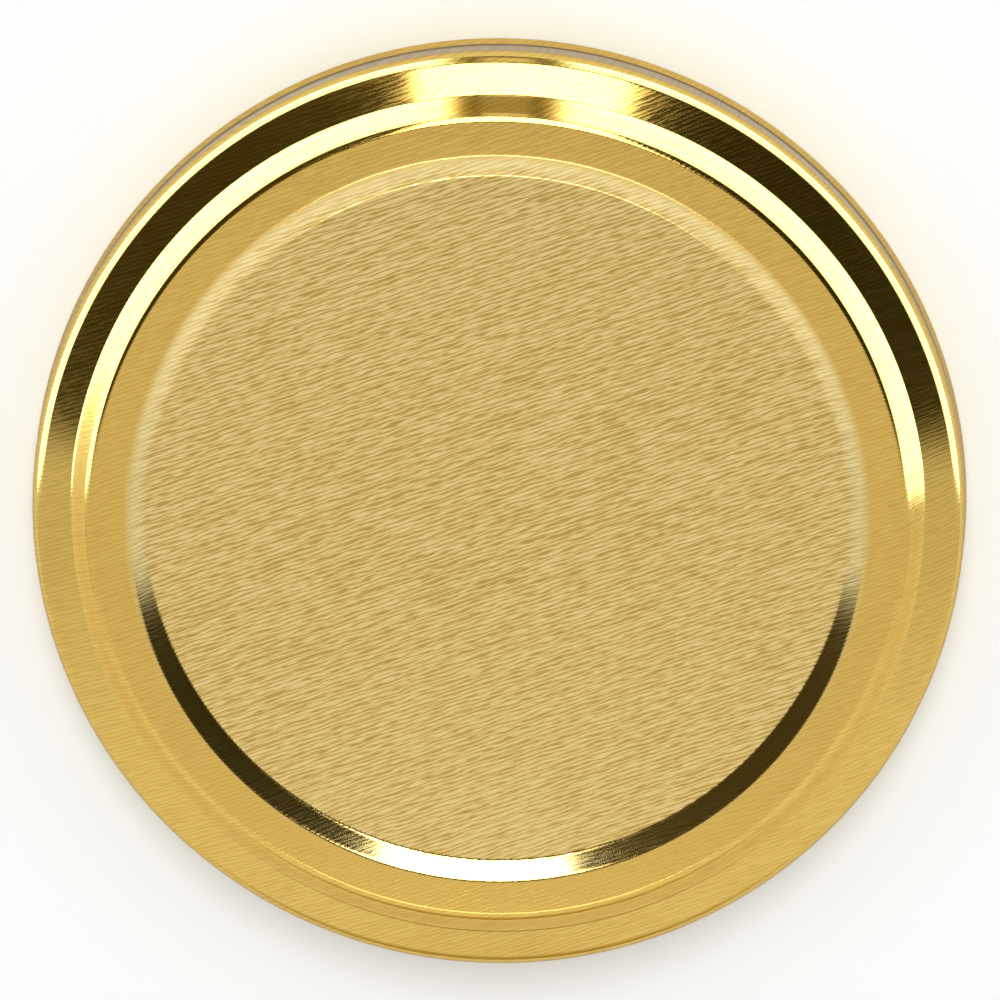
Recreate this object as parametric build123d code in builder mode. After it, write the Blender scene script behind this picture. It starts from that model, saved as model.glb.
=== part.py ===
from build123d import *
from math import cos, degrees, radians, sin, tan
import os

# Twist-off lid of gold-lacquered tinplate for a glass jar, in millimetres.
# The lid stands on its curled rim with its top up. +Z is the lid's own axis, and the
# origin is the centre of the circle that the rim stands on.

# Overall sizes and the sheet
curl_diameter = 85.2
lid_height = 10.0
sheet = 0.20

# Curl that hides the raw edge, and the skirt that flares out into it
curl_radius = 0.85
curl_turn = 306.0
curl_bulge = 0.45
skirt_flare = 0.1
flare_angle = 20.0

# The top, from the skirt inwards: a sloping ledge, a steep step up to the flat crown and
# a short cone down to the sunk panel. Widths run between where two faces would meet.
ledge_width = 3.7
ledge_slope = 19.0
step_width = 1.7
step_height = 1.65
crown_width = 3.5
cone_width = 1.75
panel_depth = 0.65

# Bend radii of the outer face
panel_bend = 1.5
crown_inner_bend = 1.5
crown_outer_bend = 1.2
step_foot_bend = 0.6
shoulder_bend = 1.6
flare_bend = 1.5

# Lugs pressed inwards out of the curl, each folded round a hollow
lug_count = 6
lug_reach = 1.5
lug_tip_arc = 18.5
lug_root_arc = 25.0
lug_height = 1.2
lug_foot = 0.15
lug_corner = 1.0
lug_bend = 0.3
lug_hollow_reach = 0.35

# Sealing ring in the channel under the crown and the step
toe_inset = 1.0
toe_depth = 0.5
land_overlap = 0.1
land_reach = 1.35
land_depth = 0.85
ring_bend = 0.5
heel_bend = 0.1

# The outer face's corners, from the axis to the curl, as radius and height
skirt_radius = curl_diameter / 2 - curl_bulge
step_foot_radius = skirt_radius - ledge_width
crown_outer_radius = step_foot_radius - step_width
crown_inner_radius = crown_outer_radius - crown_width
panel_radius = crown_inner_radius - cone_width
panel_top = lid_height - panel_depth
step_foot_height = lid_height - step_height
ledge_fall = tan(radians(ledge_slope))
shoulder_height = step_foot_height - ledge_width * ledge_fall
curl_center = (curl_diameter / 2 - curl_radius, curl_radius)
flare_end = (
    curl_center[0] + curl_radius * cos(radians(flare_angle)),
    curl_center[1] + curl_radius * sin(radians(flare_angle)),
)
skirt_foot_radius = skirt_radius + skirt_flare
flare_height = (flare_end[0] - skirt_foot_radius) / tan(radians(flare_angle))

# Section of the sheet from the axis to the foot of the skirt, thickened to the inside
with BuildSketch(Plane.XZ) as pressed_section:
    with BuildLine():
        FilletPolyline(
            (0, panel_top),
            (panel_radius, panel_top),
            (crown_inner_radius, lid_height),
            (crown_outer_radius, lid_height),
            (step_foot_radius, step_foot_height),
            (skirt_radius, shoulder_height),
            (skirt_foot_radius, flare_end[1] + flare_height),
            flare_end,
            radius=[
                panel_bend,
                crown_inner_bend,
                crown_outer_bend,
                step_foot_bend,
                shoulder_bend,
                flare_bend,
            ],
        )
        offset(amount=sheet, side=Side.RIGHT, closed=True)
    make_face()

# Section of the curl, which rolls the same sheet in under the skirt
with BuildSketch(Plane.XZ) as curl_section:
    with BuildLine():
        outer = CenterArc(curl_center, curl_radius, flare_angle, -curl_turn)
        inner = CenterArc(curl_center, curl_radius - sheet, flare_angle, -curl_turn)
        Line(outer @ 0, inner @ 0)
        Line(outer @ 1, inner @ 1)
    make_face()


# One lug, seen from above a short arc with splayed flanks. With no inset it is the
# lug's outside, and with the sheet as inset it is the hollow that the fold leaves.
def lug_body(inset, root_radius):
    tip_radius = curl_center[0] - curl_radius - lug_reach + inset
    tip_arc = lug_tip_arc - 2 * degrees(inset / tip_radius)
    root_arc = lug_root_arc - 2 * degrees(inset / root_radius)
    with BuildPart() as body:
        with BuildSketch(Plane.XY.offset(lug_foot + inset)) as outline:
            with BuildLine():
                tip = CenterArc((0, 0), tip_radius, -tip_arc / 2, tip_arc)
                root = CenterArc((0, 0), root_radius, -root_arc / 2, root_arc)
                Line(tip @ 0, root @ 0)
                Line(tip @ 1, root @ 1)
            make_face()
            fillet(outline.vertices().sort_by(Axis.X)[:2], lug_corner - inset)
        extrude(amount=lug_height - 2 * inset)
    return body.part


# The lug's fold is rounded everywhere but at its root, which runs into the curl
lug_root_radius = curl_center[0] - curl_radius + sheet
with BuildPart() as lug:
    add(lug_body(0, lug_root_radius))
    fillet(lug.edges().filter_by(Plane.XY).sort_by(Axis.X)[:-2], lug_bend)
lug_hollow = lug_body(sheet, lug_root_radius + lug_hollow_reach)

# The shell, pressed from one blank: panel, crown, step, ledge, skirt, curl and lugs
with BuildPart() as lid_shell:
    revolve(pressed_section.sketch, axis=Axis.Z)
    revolve(curl_section.sketch, axis=Axis.Z)
    with PolarLocations(0, lug_count, start_angle=180 / lug_count):
        add(lug.part)
        add(lug_hollow, mode=Mode.SUBTRACT)

# Section of the sealing ring: it fills the channel up to the sheet's own underside, has
# a flat land for the jar's rim, and thins out to a toe on the inside
in_sheet = sheet / 2
toe_radius = crown_inner_radius + toe_inset
land_inner_radius = crown_outer_radius - land_overlap
land_outer_radius = step_foot_radius + land_reach
land_height = step_foot_height - land_depth
with BuildSketch(Plane.XZ) as ring_section:
    with BuildLine():
        FilletPolyline(
            (toe_radius, lid_height - in_sheet),
            (toe_radius, lid_height - sheet - toe_depth),
            (land_inner_radius, land_height),
            (land_outer_radius, land_height),
            (land_outer_radius, step_foot_height - land_reach * ledge_fall - in_sheet),
            (step_foot_radius, step_foot_height - in_sheet),
            (crown_outer_radius, lid_height - in_sheet),
            radius=[0, ring_bend, ring_bend, heel_bend, 0, 0, 0],
            close=True,
        )
    make_face()
    add(pressed_section.sketch_local, mode=Mode.SUBTRACT)

# The sealing ring, flowed in soft and cured in place
with BuildPart() as sealing_ring:
    revolve(ring_section.sketch.faces().sort_by(Axis.Z)[0], axis=Axis.Z)

lid_shell.part.label = "lid_shell"
sealing_ring.part.label = "sealing_ring"

os.makedirs("parts", exist_ok=True)
export_step(lid_shell.part, "parts/lid_shell.step")
export_step(sealing_ring.part, "parts/sealing_ring.step")
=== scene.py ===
# %% [markdown]
# A twist-off lid of gold tinplate, seen from above.
# The lid is one thin sheet of tinplate, pressed into rings, turned down into a skirt and
# rolled up at its edge, with a ring of sealing compound inside.
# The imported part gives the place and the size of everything. This script gives the looks:
# it presses a finer shell in the same place, lacquers it, and sets up the studio.

# %% Load the frame
from math import atan2, cos, hypot, pi, radians, sin, tan

import bpy
from mathutils import Matrix, Vector


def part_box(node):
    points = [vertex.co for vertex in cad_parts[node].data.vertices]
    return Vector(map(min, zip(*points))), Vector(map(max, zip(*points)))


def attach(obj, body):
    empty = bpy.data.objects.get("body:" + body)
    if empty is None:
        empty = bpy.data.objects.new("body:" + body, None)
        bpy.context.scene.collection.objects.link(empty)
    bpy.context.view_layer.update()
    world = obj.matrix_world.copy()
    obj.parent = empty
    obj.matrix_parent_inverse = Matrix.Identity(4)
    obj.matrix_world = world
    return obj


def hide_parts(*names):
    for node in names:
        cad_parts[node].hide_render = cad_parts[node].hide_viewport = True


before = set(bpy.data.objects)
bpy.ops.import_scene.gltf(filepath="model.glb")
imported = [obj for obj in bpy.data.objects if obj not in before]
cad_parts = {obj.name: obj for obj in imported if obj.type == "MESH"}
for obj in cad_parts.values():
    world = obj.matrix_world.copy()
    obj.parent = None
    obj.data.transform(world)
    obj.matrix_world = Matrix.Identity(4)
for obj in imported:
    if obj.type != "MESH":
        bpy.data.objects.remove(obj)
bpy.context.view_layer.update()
shell_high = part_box("lid_shell")[1]
print("pieces of the part:", sorted(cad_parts))
print("lid, in mm: %.1f across, %.1f high" % (2000 * shell_high.x, 1000 * shell_high.z))

# %% [markdown]
# The section of the sheet is what the press makes: a sunk panel, a short cone up to the
# crown, a steep step, a sloping ledge, the skirt and the curl. It could be drawn as a
# bare list of points, but a few widths and heights, worked inwards from the curl, are
# what the toolmaker writes down. Each corner is where two faces would meet, with the
# radius of the bend that replaces it.

# %% Sizes of the pressed sheet
mm = 0.001
sheet = 0.20 * mm
curl_radius = 0.85 * mm
curl_turn = radians(306)
curl_bulge = 0.45 * mm
flare_angle = radians(20)
skirt_flare = 0.1 * mm
ledge_width = 3.7 * mm
ledge_slope = radians(19)
step_width = 1.7 * mm
step_height = 1.65 * mm
crown_width = 3.5 * mm
cone_width = 1.75 * mm
panel_depth = 0.65 * mm
panel_bend = crown_inner_bend = 1.5 * mm
crown_outer_bend = 1.2 * mm
step_foot_bend = 0.6 * mm
shoulder_bend = 1.6 * mm
flare_bend = 1.5 * mm

curl_middle = Vector((shell_high.x - curl_radius, 0, curl_radius))
skirt_radius = shell_high.x - curl_bulge
skirt_foot_radius = skirt_radius + skirt_flare
step_foot_radius = skirt_radius - ledge_width
crown_outer_radius = step_foot_radius - step_width
crown_inner_radius = crown_outer_radius - crown_width
panel_radius = crown_inner_radius - cone_width
crown_top = shell_high.z
panel_top = crown_top - panel_depth
step_foot_height = crown_top - step_height
shoulder_height = step_foot_height - ledge_width * tan(ledge_slope)
flare_end = curl_middle + curl_radius * Vector((cos(flare_angle), 0, sin(flare_angle)))
flare_height = (flare_end.x - skirt_foot_radius) / tan(flare_angle)
corners = [
    (panel_radius, panel_top, panel_bend),
    (crown_inner_radius, crown_top, crown_inner_bend),
    (crown_outer_radius, crown_top, crown_outer_bend),
    (step_foot_radius, step_foot_height, step_foot_bend),
    (skirt_radius, shoulder_height, shoulder_bend),
    (skirt_foot_radius, flare_end.z + flare_height, flare_bend),
]
print("corners of the section:", len(corners))

# %% [markdown]
# The section is drawn the way a pen walks: straight on by extruding the last vertex,
# then round a bend by spinning that vertex about the bend's centre. A bevel on each
# corner would be quicker, but it gives an ellipse instead of a true arc, and on bright
# metal the eye sees the difference.

# %% Helpers for drawing with operators
def deselect_everything():
    if bpy.context.object and bpy.context.object.mode != "OBJECT":
        bpy.ops.object.mode_set(mode="OBJECT")
    bpy.ops.object.select_all(action="DESELECT")


def start_point(name, place):
    """A new mesh of one vertex, which is left selected in edit mode."""
    deselect_everything()
    bpy.ops.mesh.primitive_plane_add(size=mm, location=(0, 0, 0))
    bpy.context.object.name = name
    bpy.ops.object.mode_set(mode="EDIT")
    bpy.ops.mesh.select_mode(type="VERT")
    bpy.ops.mesh.merge(type="CENTER")
    bpy.ops.transform.translate(value=place)
    return bpy.context.object


def go_straight(start, end):
    bpy.ops.mesh.extrude_region_move(TRANSFORM_OT_translate={"value": end - start})


def go_round(middle, turn, steps):
    """Spin the last vertex about middle in the XZ plane; turn > 0 turns downwards."""
    bpy.ops.mesh.spin(
        steps=steps, angle=-turn, center=middle, axis=(0, 1, 0), use_auto_merge=False
    )


# %% Draw the section, from the axis to the curl
bend_step = radians(4)
fewest_steps = 4
curl_steps = 30
points = [Vector((0, 0, panel_top))]
points += [Vector((x, 0, z)) for x, z, bend in corners] + [flare_end]
shell = start_point("lid_shell_skin", points[0])
place = points[0]
bends = [bend for x, z, bend in corners]
for before, corner, after, bend in zip(points, points[1:], points[2:], bends):
    come, leave = (corner - before).normalized(), (after - corner).normalized()
    turn = atan2(come.z, come.x) - atan2(leave.z, leave.x)
    side = 1 if turn > 0 else -1
    bend_start = corner - come * bend * tan(abs(turn) / 2)
    inwards = Vector((come.z, 0, -come.x)) * side
    go_straight(place, bend_start)
    steps = max(fewest_steps, round(abs(turn) / bend_step))
    go_round(bend_start + inwards * bend, turn, steps)
    place = corner + leave * bend * tan(abs(turn) / 2)
go_straight(place, flare_end)
go_round(curl_middle, curl_turn, curl_steps)
bpy.ops.object.mode_set(mode="OBJECT")
print("vertices in the section:", len(shell.data.vertices))
print("last vertex, in mm:", [round(1000 * c, 2) for c in shell.data.vertices[-1].co])

# %% [markdown]
# A spin round the lid's axis turns the section into the skin of the sheet. The spin
# leaves a seam and a heap of vertices on the axis, so both are merged and the faces
# turned outwards before Solidify gives the skin the thickness of tinplate.

# %% Spin the skin and thicken it
lathe_steps = 480
bpy.ops.object.mode_set(mode="EDIT")
bpy.ops.mesh.select_all(action="SELECT")
bpy.ops.mesh.spin(
    steps=lathe_steps, angle=2 * pi, center=(0, 0, 0), axis=(0, 0, 1), use_auto_merge=False
)
bpy.ops.mesh.select_all(action="SELECT")
bpy.ops.mesh.remove_doubles(threshold=0.002 * mm)
bpy.ops.mesh.normals_make_consistent(inside=False)
bpy.ops.object.mode_set(mode="OBJECT")
top_face = max(shell.data.polygons, key=lambda face: face.center.z)
if top_face.normal.z < 0:
    bpy.ops.object.mode_set(mode="EDIT")
    bpy.ops.mesh.select_all(action="SELECT")
    bpy.ops.mesh.flip_normals()
    bpy.ops.object.mode_set(mode="OBJECT")
bpy.ops.object.modifier_add(type="SOLIDIFY")
wall = shell.modifiers["Solidify"]
wall.thickness = sheet
wall.offset = -1
wall.use_even_offset = True
bpy.ops.object.modifier_apply(modifier="Solidify")
print("faces of the shell:", len(shell.data.polygons))

# %% [markdown]
# Six lugs hold the lid on the jar's thread. On the real lid they are the curl itself,
# pressed inwards and flattened at six places. They could be separate blocks stuck to
# the curl, but then no fold would run out into it, so the curl's own vertices are
# moved: the farther a vertex lies inside the curl, the more it goes in.

# %% Press the lugs out of the curl
lug_count = 6
lug_reach = 1.5 * mm
lug_tip_half = radians(18.5 / 2)
lug_root_half = radians(25 / 2)
lug_squeeze = 0.3
curl_top = 2.1 * curl_radius


def ease(value):
    value = min(1, max(0, value))
    return value * value * (3 - 2 * value)


moved = 0
for vertex in shell.data.vertices:
    x, y, z = vertex.co
    radius, around = hypot(x, y), atan2(y, x)
    if radius > curl_middle.x or z > curl_top or radius < step_foot_radius:
        continue
    off_lug = abs((around % (2 * pi / lug_count)) - pi / lug_count)
    share = ease((lug_root_half - off_lug) / (lug_root_half - lug_tip_half))
    if share == 0:
        continue
    depth = min(1, (curl_middle.x - radius) / curl_radius)
    new_radius = radius - lug_reach * share * (1 - (1 - depth) ** 2)
    squeeze = 1 - lug_squeeze * share * ease(2 * depth)
    vertex.co = (x * new_radius / radius, y * new_radius / radius,
                 curl_radius + (z - curl_radius) * squeeze)
    moved += 1
print("vertices pressed into lugs:", moved)

# %% [markdown]
# The sheet is smooth, so it is shaded smooth, with the raw edge kept sharp. A plain
# smooth normal would lean at the rim of each flat face and bend its reflection there.
# Weighted normals let the large faces keep their own direction.

# %% Shade the shell
deselect_everything()
shell.select_set(True)
bpy.context.view_layer.objects.active = shell
bpy.ops.object.shade_smooth_by_angle(angle=radians(40))
bpy.ops.object.modifier_add(type="WEIGHTED_NORMAL")
shell.modifiers["WeightedNormal"].keep_sharp = True
bpy.ops.object.modifier_apply(modifier="WeightedNormal")
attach(shell, "root")
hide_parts("lid_shell")
print("triangles of the shell:", sum(len(f.vertices) - 2 for f in shell.data.polygons))

# %% [markdown]
# Materials are node trees. This small helper adds a node, names it, and fills its
# sockets, so that each finish below reads as a list of steps.

# %% Helper for node trees
def add_node(tree, kind, label, inputs=None, **settings):
    node = tree.nodes.new(kind)
    node.label = label
    for key, value in settings.items():
        setattr(node, key, value)
    for key, value in (inputs or {}).items():
        if isinstance(value, bpy.types.NodeSocket):
            tree.links.new(value, node.inputs[key])
        else:
            node.inputs[key].default_value = value
    return node


def calculate(tree, label, operation, *values):
    inputs = dict(enumerate(values))
    return add_node(tree, "ShaderNodeMath", label, inputs, operation=operation).outputs[0]


# %% [markdown]
# A gold lacquer covers the tinplate. It was rolled on while the blank was flat. Its colour
# changes ring by ring: pale on the panel, palest on the cone, and deepest on the steep
# step. The palest cone is a painted highlight and the deepest step is painted shade, for the
# brighter and darker surroundings these rings reflect. So the colour is set by the distance
# to the lid's axis.

# %% Lacquer colour, ring by ring, with painted highlight and shade
gold = bpy.data.materials.new("gold_tinplate")
gold.use_nodes = True
tree = gold.node_tree
shader = tree.nodes["Principled BSDF"]
place = add_node(tree, "ShaderNodeTexCoord", "place").outputs["Object"]
panel_gold = (1.0, 0.77, 0.315, 1)
# Painted highlight: the cone's paler gold stands in for the brighter surroundings it
# reflects.
cone_gold_painted_highlight = (1.0, 0.82, 0.38, 1)
crown_gold = (0.86, 0.565, 0.130, 1)
ledge_gold = (0.79, 0.535, 0.130, 1)
# Painted shade: the step's deeper gold stands in for the darker surroundings it reflects.
step_gold_painted_shade = (0.75, 0.465, 0.095, 1)
flat_place = add_node(
    tree, "ShaderNodeVectorMath", "without height", {0: place, 1: (1, 1, 0)},
    operation="MULTIPLY",
).outputs[0]
from_axis = add_node(
    tree, "ShaderNodeVectorMath", "from the axis", {0: flat_place}, operation="LENGTH"
).outputs["Value"]
ring_share = calculate(tree, "share of the radius", "DIVIDE", from_axis, shell_high.x)
# This ramp holds the lacquer's gold together with a painted highlight on the cone and painted
# shade on the step.
lacquer_and_painted_sheen = add_node(tree, "ShaderNodeValToRGB", "lacquer_and_painted_sheen", {"Fac": ring_share})
soft = 0.3 * mm
rings = [
    (panel_radius, panel_gold),
    (panel_radius + 2 * soft, cone_gold_painted_highlight),
    (crown_inner_radius - 2 * soft, cone_gold_painted_highlight),
    (crown_inner_radius + soft, crown_gold),
    (crown_outer_radius, crown_gold),
    (crown_outer_radius + 2 * soft, step_gold_painted_shade),
    (step_foot_radius - 2 * soft, step_gold_painted_shade),
    (step_foot_radius, ledge_gold),
]
stops = lacquer_and_painted_sheen.color_ramp.elements
stops.remove(stops[1])
for radius, colour in rings:
    stop = stops[0] if radius == panel_radius else stops.new(radius / shell_high.x)
    stop.position, stop.color = radius / shell_high.x, colour
print("rings of lacquer:", len(stops))

# %% [markdown]
# Under the lacquer is a straight grain from the rolling mill, which runs over the whole
# blank and goes on through every pressed ring. Noise stretched along one direction
# gives blotches. The real streaks keep nearly the same distance, so they are fine
# waves that noise pushes to and fro, and a second noise breaks them up. Both only see
# the place in the plane of the blank, as the grain was there before the rings.

# %% Rolling grain
grain_angle = radians(19.4)
streak_spacing = 0.37 * mm
streak_length = 2.6 * mm
wave_scale = 0.1 * pi  # one band for each unit of place
wave_share, break_share, patch_share = 0.40, 0.50, 0.10
stretched_share = 0.35  # what is left of the grain where the press stretched the sheet
turned = add_node(
    tree, "ShaderNodeMapping", "along the grain",
    {"Vector": flat_place, "Rotation": (0, 0, -grain_angle)},
).outputs[0]


def stretch(label, length, width):
    """The turned place, measured in lengths along the grain and widths across it."""
    inputs = {"Vector": turned, "Scale": (1 / length, 1 / width, 1)}
    return add_node(tree, "ShaderNodeMapping", label, inputs).outputs[0]


waves = add_node(
    tree, "ShaderNodeTexWave", "streaks",
    {"Vector": stretch("streak place", streak_length, streak_spacing), "Scale": wave_scale,
     "Distortion": 5.0, "Detail": 1.0, "Detail Scale": 3.2},
    bands_direction="Y",
)
breaks = add_node(
    tree, "ShaderNodeTexNoise", "breaks in the streaks",
    {"Vector": stretch("break place", 1.2 * mm, 0.14 * mm), "Scale": 1.0, "Detail": 1.0},
    noise_dimensions="2D",
)
patches = add_node(
    tree, "ShaderNodeTexNoise", "faint patches",
    {"Vector": stretch("patch place", 4.0 * mm, 2.0 * mm), "Scale": 1.0, "Detail": 2.0},
    noise_dimensions="2D",
)
both = calculate(
    tree, "grain", "MULTIPLY_ADD", waves.outputs["Fac"], wave_share,
    calculate(
        tree, "breaks and patches", "MULTIPLY_ADD", breaks.outputs["Fac"], break_share,
        calculate(tree, "some patches", "MULTIPLY", patches.outputs["Fac"], patch_share),
    ),
)
shade = add_node(tree, "ShaderNodeValToRGB", "dark of the grain", {"Fac": both})
shade_stops = shade.color_ramp.elements
shade_stops[0].position, shade_stops[0].color = 0.28, (0.59, 0.50, 0.27, 1)
shade_stops[1].position, shade_stops[1].color = 0.70, (1, 1, 1, 1)
shade_stops.new(0.50).color = (0.86, 0.78, 0.62, 1)
strength = add_node(
    tree, "ShaderNodeMapRange", "weaker when stretched",
    {"Value": from_axis, "From Min": panel_radius, "From Max": crown_inner_radius,
     "To Min": 1.0, "To Max": stretched_share},
)
tinted = add_node(
    tree, "ShaderNodeMix", "lacquer on grain",
    {0: strength.outputs[0], 6: lacquer_and_painted_sheen.outputs[0], 7: shade.outputs[0]},
    data_type="RGBA", blend_type="MULTIPLY",
)
tree.links.new(tinted.outputs[2], shader.inputs["Base Color"])
polish = add_node(
    tree, "ShaderNodeMapRange", "polish",
    {"Value": both, "From Min": 0.35, "From Max": 0.65, "To Min": 0.13, "To Max": 0.08},
)
tree.links.new(polish.outputs[0], shader.inputs["Roughness"])
ridges = add_node(
    tree, "ShaderNodeBump", "rolling ridges",
    {"Height": both, "Strength": 0.25, "Distance": 0.01 * mm},
)
tree.links.new(ridges.outputs[0], shader.inputs["Normal"])
shader.inputs["Metallic"].default_value = 1.0
# The grey specular tint is a painted reflection: seen edge-on, as on the skirt, the gold
# turns to a plain grey, which stands in for the shaded floor that the skirt reflects.
shader.inputs["Specular Tint"].default_value = (0.50, 0.50, 0.53, 1)
shader.inputs["Coat Weight"].default_value = 0.2
shader.inputs["Coat Roughness"].default_value = 0.05
shell.data.materials.clear()
shell.data.materials.append(gold)
print("nodes in the gold finish:", len(tree.nodes))

# %% [markdown]
# The sealing compound is a soft cream plastisol that is poured in as a paste and cured
# in the lid. Its solid already has the right shape, so it stays and gets a finish:
# faint flow marks, a little unevenness in colour, and a dull shine.

# %% Sealing compound
compound = bpy.data.materials.new("sealing_compound")
compound.use_nodes = True
tree = compound.node_tree
shader = tree.nodes["Principled BSDF"]
place = add_node(tree, "ShaderNodeTexCoord", "place").outputs["Object"]
cloud = add_node(
    tree, "ShaderNodeTexNoise", "cloudiness", {"Vector": place, "Scale": 260.0, "Detail": 4.0}
)
cream = add_node(tree, "ShaderNodeValToRGB", "cream", {"Fac": cloud.outputs["Fac"]})
cream.color_ramp.elements[0].color = (0.60, 0.54, 0.40, 1)
cream.color_ramp.elements[1].color = (0.72, 0.67, 0.54, 1)
tree.links.new(cream.outputs[0], shader.inputs["Base Color"])
flow = add_node(
    tree, "ShaderNodeBump", "flow marks",
    {"Height": cloud.outputs["Fac"], "Strength": 0.2, "Distance": 0.05 * mm},
)
tree.links.new(flow.outputs[0], shader.inputs["Normal"])
shader.inputs["Roughness"].default_value = 0.42
shader.inputs["Subsurface Weight"].default_value = 0.1
shader.inputs["Subsurface Radius"].default_value = (0.6 * mm, 0.5 * mm, 0.4 * mm)
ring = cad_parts["sealing_ring"]
ring.data.materials.clear()
ring.data.materials.append(compound)
print("finish of the sealing ring:", ring.data.materials[0].name)

# %% [markdown]
# The lid lies on a plain white table. The table is one large plane.

# %% The table
deselect_everything()
bpy.ops.mesh.primitive_plane_add(size=8, location=(0, 0, 0))
table = bpy.context.object
table.name = "table"
white = bpy.data.materials.new("white_table")
white.use_nodes = True
shader = white.node_tree.nodes["Principled BSDF"]
shader.inputs["Base Color"].default_value = (0.96, 0.96, 0.965, 1)
shader.inputs["Roughness"].default_value = 0.8
table.data.materials.append(white)
print("table, in m:", tuple(round(size, 2) for size in table.dimensions))

# %% [markdown]
# Bright metal shows its surroundings more than its own colour, so the studio is what
# draws the rings. On the side away from the camera a wide pale field fills half the
# room and turns brown low down. Behind the camera stands a pale wall, darker at its
# foot, with nothing but dark above it. The room is painted on the world by direction,
# with colour ramps, which is easier to tune than a room full of walls.

# %% The studio's room
world = bpy.data.worlds.new("studio")
bpy.context.scene.world = world
world.use_nodes = True
tree = world.node_tree
towards = add_node(tree, "ShaderNodeTexCoord", "direction").outputs["Generated"]
dir_x, dir_y, dir_z = add_node(
    tree, "ShaderNodeSeparateXYZ", "parts of it", {0: towards}
).outputs


def ramp(label, value, stops):
    """A colour ramp with the given (position, colour) stops."""
    node = add_node(tree, "ShaderNodeValToRGB", label, {"Fac": value})
    elements = node.color_ramp.elements
    elements.remove(elements[1])
    elements[0].position, elements[0].color = stops[0][0], (*stops[0][1], 1)
    for position, colour in stops[1:]:
        elements.new(position).color = (*colour, 1)
    return node.outputs[0]


def blend(label, share, first, second):
    node = add_node(
        tree, "ShaderNodeMix", label, {0: share, 6: first, 7: second}, data_type="RGBA"
    )
    return node.outputs[2]


away = calculate(tree, "away from the camera", "MULTIPLY", dir_y, -1.0)
field = ramp("even field", away, [
    (0.12, (0.74, 0.74, 0.74)),
    (0.28, (0.755, 0.755, 0.755)),
    (0.55, (0.93, 0.93, 0.93)),
    (0.80, (0.93, 0.93, 0.92)),
    (0.97, (0.50, 0.42, 0.22)),
])
side = calculate(tree, "from left to right", "MULTIPLY_ADD", dir_x, 0.5, 0.5)
dark = ramp("dark overhead", side, [
    (0.25, (0.050, 0.037, 0.007)),
    (0.45, (0.060, 0.047, 0.010)),
    (0.60, (0.030, 0.024, 0.003)),
])
low_wall = ramp("wall behind the camera", dir_z, [
    (0.10, (0.27, 0.23, 0.12)),
    (0.30, (0.92, 0.90, 0.86)),
])
wall_top, dark_from = 0.66, 0.72
above_wall = add_node(
    tree, "ShaderNodeMapRange", "above the wall",
    {"Value": dir_z, "From Min": wall_top, "From Max": dark_from},
).outputs[0]
in_field = add_node(
    tree, "ShaderNodeMapRange", "in the field",
    {"Value": away, "From Min": 0.05, "From Max": 0.13}, interpolation_type="SMOOTHSTEP",
).outputs[0]
behind = blend("behind the camera", above_wall, low_wall, dark)
whole_room = blend("whole room", in_field, behind, field)
tree.links.new(whole_room, tree.nodes["Background"].inputs["Color"])
print("nodes in the room:", len(tree.nodes))

# %% [markdown]
# Two white curtains hang round behind the camera and turn brown towards the gap between
# them. They are the white flash on the steep step and the white line on the shoulder.
# They shine only in reflections, because as lamps they would drown the table in light.

# %% The curtains
curtain_distance = 1.2
curtain_height = curtain_distance * tan(radians(42))
curtain_gap = radians(4)
curtain_end = radians(8)
curtain_light_low, curtain_light_high = 7.0, 4.5
curtain_steps = 48
glow = bpy.data.materials.new("curtain_glow")
glow.use_nodes = True
tree = glow.node_tree
tree.nodes.remove(tree.nodes["Principled BSDF"])
curtain_x, _, curtain_z = add_node(
    tree, "ShaderNodeSeparateXYZ", "parts of the place",
    {0: add_node(tree, "ShaderNodeTexCoord", "place").outputs["Object"]},
).outputs
brightness = add_node(
    tree, "ShaderNodeMapRange", "brighter low down",
    {"Value": curtain_z, "From Min": 0.2, "From Max": 0.4,
     "To Min": curtain_light_low, "To Max": curtain_light_high},
).outputs[0]
off_middle = calculate(tree, "off the middle", "ABSOLUTE", curtain_x)
off_gap = add_node(
    tree, "ShaderNodeMapRange", "off the gap",
    {"Value": off_middle, "From Min": 0.08, "From Max": 0.24},
    interpolation_type="SMOOTHSTEP",
).outputs[0]
white_or_brown = ramp("brown at the gap", off_gap, [
    (0.0, (0.034, 0.028, 0.014)),
    (0.40, (0.065, 0.055, 0.028)),
    (0.75, (0.28, 0.29, 0.28)),
    (1.0, (0.50, 0.68, 1.0)),
])
emission = add_node(
    tree, "ShaderNodeEmission", "glow", {"Color": white_or_brown, "Strength": brightness}
)
tree.links.new(emission.outputs[0], tree.nodes["Material Output"].inputs["Surface"])
sweep = pi / 2 - curtain_gap + curtain_end
for name, start in [("right_curtain", -curtain_end), ("left_curtain", pi / 2 + curtain_gap)]:
    foot = Vector((curtain_distance * cos(start), curtain_distance * sin(start), 0))
    curtain = start_point(name, foot)
    go_straight(foot, foot + Vector((0, 0, curtain_height)))
    bpy.ops.mesh.select_all(action="SELECT")
    bpy.ops.mesh.spin(
        steps=curtain_steps, angle=-sweep, center=(0, 0, 0), axis=(0, 0, 1),
        use_auto_merge=False,
    )
    bpy.ops.object.mode_set(mode="OBJECT")
    curtain.data.materials.append(glow)
    curtain.visible_camera = False
    curtain.visible_diffuse = False
    curtain.visible_shadow = False
    print(name, "size in m:", [round(size, 2) for size in curtain.dimensions])

# %% [markdown]
# One long softbox hangs behind the camera, from nearly overhead down to the front. It
# is the white flash on the ledge and on the cone. A second, small one hangs on the
# other side, and draws the lens-shaped glints on the bends.

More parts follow.
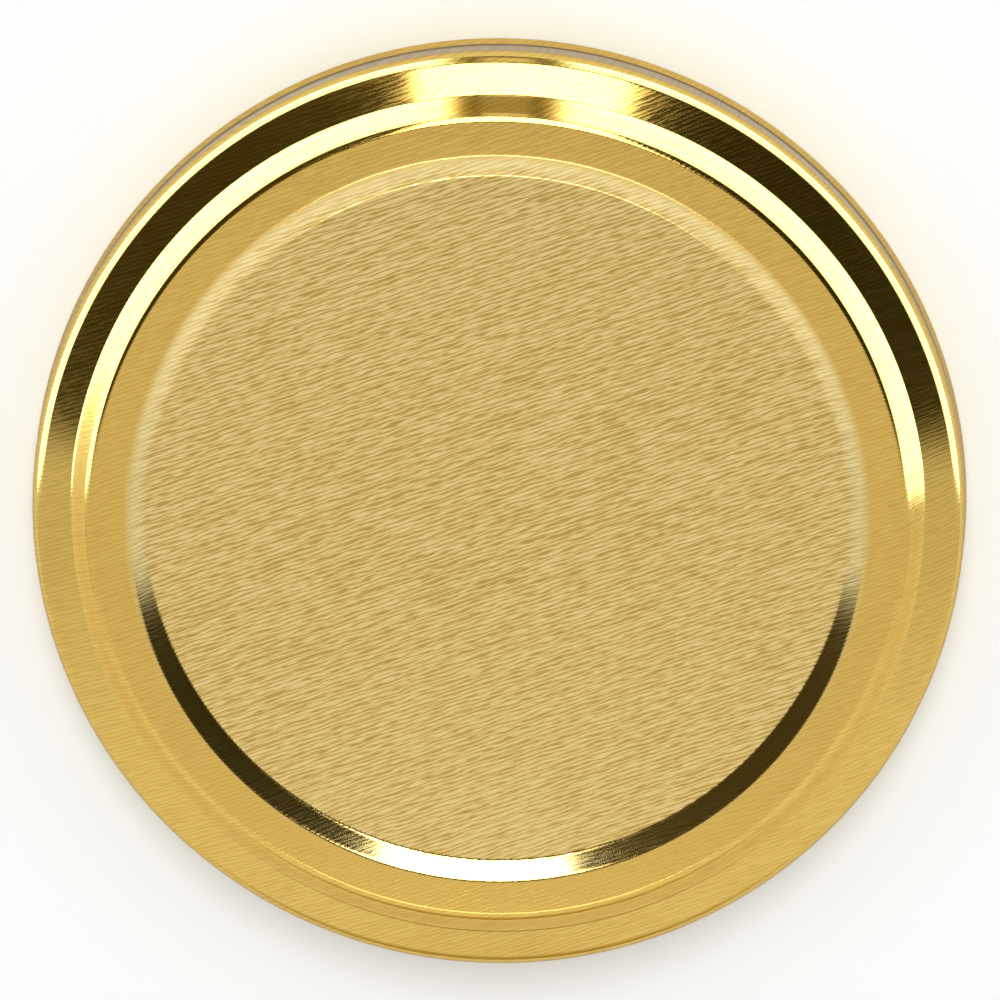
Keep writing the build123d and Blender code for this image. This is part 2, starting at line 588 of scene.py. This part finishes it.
# %% The softboxes
def add_softbox(name, top, low, width, turn, light):
    """A rectangle of light from top to low that faces the lid, turned about its axis."""
    lamp = bpy.data.lights.new(name, "AREA")
    lamp.shape = "RECTANGLE"
    lamp.size = width
    lamp.size_y = (top - low).length
    lamp.energy = light * pi * lamp.size * lamp.size_y
    softbox = bpy.data.objects.new(name, lamp)
    bpy.context.scene.collection.objects.link(softbox)
    along = (low - top).normalized()
    across = Vector((1, 0, 0))
    axes = Matrix((across, along, across.cross(along))).transposed().to_4x4()
    if (axes.to_3x3() @ Vector((0, 0, 1))).dot(top) < 0:
        axes = Matrix((-across, along, -across.cross(along))).transposed().to_4x4()
    softbox.matrix_world = (
        Matrix.Rotation(turn, 4, "Z") @ Matrix.Translation((top + low) / 2) @ axes
    )
    softbox.visible_camera = False
    print("%s, in watts: %.2f" % (name, lamp.energy))


add_softbox(
    "long_softbox", top=Vector((0, 0.079, 1.498)), low=Vector((0, 0.502, 0.557)),
    width=0.30, turn=radians(-2), light=6.0,
)
add_softbox(
    "small_softbox", top=Vector((0, -0.52, 1.40)), low=Vector((0, -0.63, 1.355)),
    width=0.26, turn=radians(-4), light=2.8,
)

# %% [markdown]
# The room alone would leave the table grey. A wide soft lamp overhead brings it up to
# white. It is kept out of mirror reflections, where it would wash out the rings.

# %% The table's lamp
lamp = bpy.data.lights.new("ceiling", "AREA")
lamp.size = 3.0
lamp.color = (0.75, 0.88, 1.0)
lamp.energy = 4
ceiling = bpy.data.objects.new("ceiling", lamp)
bpy.context.scene.collection.objects.link(ceiling)
ceiling.location = (0, 0, 2.0)
ceiling.visible_camera = False
ceiling.visible_glossy = False
print("ceiling lamp, in m:", lamp.size)

# %% [markdown]
# The camera looks down from nearly overhead, a little from the side where the skirt
# shows, with a long lens. The place of the lid in the picture is set by aiming beside
# its middle, not by a shift.

# %% The camera
tilt = radians(12.0)
camera_side = radians(83)
camera_distance = 0.490
picture_pixels = 1000
pixels_per_metre = 11060
picture_width = picture_pixels / pixels_per_metre
aim_right, aim_up = 2.3 / pixels_per_metre, 14.5 / pixels_per_metre
middle = Vector((0, 0, 6 * mm))
back_axis = Vector((sin(tilt) * cos(camera_side), sin(tilt) * sin(camera_side), cos(tilt)))
right_axis = Vector((0, 1, 0)).cross(back_axis).normalized()
up_axis = back_axis.cross(right_axis)
aim = middle + right_axis * aim_right + up_axis * aim_up
camera_data = bpy.data.cameras.new("camera")
camera_data.sensor_width = 36
camera_data.lens = camera_data.sensor_width * camera_distance / picture_width
camera_data.clip_start = 0.01
camera = bpy.data.objects.new("camera", camera_data)
bpy.context.scene.collection.objects.link(camera)
camera.matrix_world = (
    Matrix.Translation(aim + back_axis * camera_distance)
    @ Matrix((right_axis, up_axis, back_axis)).transposed().to_4x4()
)
bpy.context.scene.camera = camera
bpy.context.scene.view_settings.view_transform = "Standard"
print("lens, in mm: %.0f" % camera_data.lens)

# %% [markdown]
# Last, the script says that it is done.

# %% Finish
print("scene set up")
